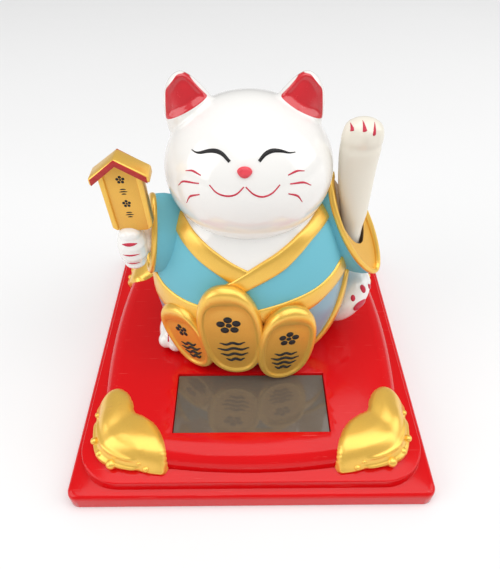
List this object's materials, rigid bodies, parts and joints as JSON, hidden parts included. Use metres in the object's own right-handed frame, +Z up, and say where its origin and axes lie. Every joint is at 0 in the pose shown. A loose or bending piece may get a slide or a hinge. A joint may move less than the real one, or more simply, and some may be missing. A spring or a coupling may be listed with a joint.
{
  "type": "beckoning cat figurine",
  "caption": "Seated cat in a kimono with koban coins and a wish board on a stepped cushion base; a solar cell drives the raised arm, which swings fore and aft.",
  "frame": {"origin": "middle of the base's underside", "axes": "+Z up; the cat looks towards -Y; +X is towards the raised left arm"},
  "size_m": [0.103, 0.1042, 0.0985],
  "materials": {
    "red_plastic": "glossy moulded",
    "gold_paint": "metallic gold paint, satin",
    "white_gloss": "glossy lacquer",
    "robe_blue": "satin paint",
    "arm_cream": "satin moulded",
    "cell_glass": "dark glossy",
    "steel": "plated",
    "board_green": "solder mask",
    "black_plastic": "moulded",
    "copper": "enamelled wire",
    "lead_red": "wire insulation",
    "lead_black": "wire insulation",
    "bracket_white": "moulded"
  },
  "bodies": {
    "figurine": {"base_shell": "red_plastic", "base_bottom_cover": "red_plastic", "solar_cell": "cell_glass", "cover_screw_1": "steel", "cover_screw_2": "steel", "cover_screw_3": "steel", "cover_screw_4": "steel", "corner_ornament_front_left": "gold_paint", "corner_ornament_front_right": "gold_paint", "corner_ornament_rear_left": "gold_paint", "corner_ornament_rear_right": "gold_paint", "body_front_shell": "robe_blue", "body_rear_shell": "robe_blue", "body_screw_1": "steel", "body_screw_2": "steel", "head_front_shell": "white_gloss", "head_rear_shell": "white_gloss", "left_sleeve": "robe_blue", "right_sleeve": "robe_blue", "right_paw": "white_gloss", "wish_board": "gold_paint", "right_foot": "white_gloss", "left_foot": "white_gloss", "coin_cluster": "gold_paint", "pivot_bracket": "bracket_white", "bracket_screw_1": "steel", "bracket_screw_2": "steel", "circuit_board": "board_green", "board_screw_1": "steel", "board_screw_2": "steel", "coil_bobbin": "bracket_white", "coil_winding": "copper", "driver_chip": "black_plastic", "storage_capacitor": "black_plastic", "lead_red": "lead_red", "lead_black": "lead_black"},
    "arm": {"waving_arm": "arm_cream", "arm_axle": "steel", "pendulum_lever": "bracket_white", "pendulum_magnet": "steel"}
  },
  "joints": [
    {"name": "arm_swing", "type": "hinge", "parent": "figurine", "child": "arm", "pos_m": [0.0283, 0.002, 0.05], "axis": [1, 0, 0], "range_deg": [-14, 14]}
  ]
}
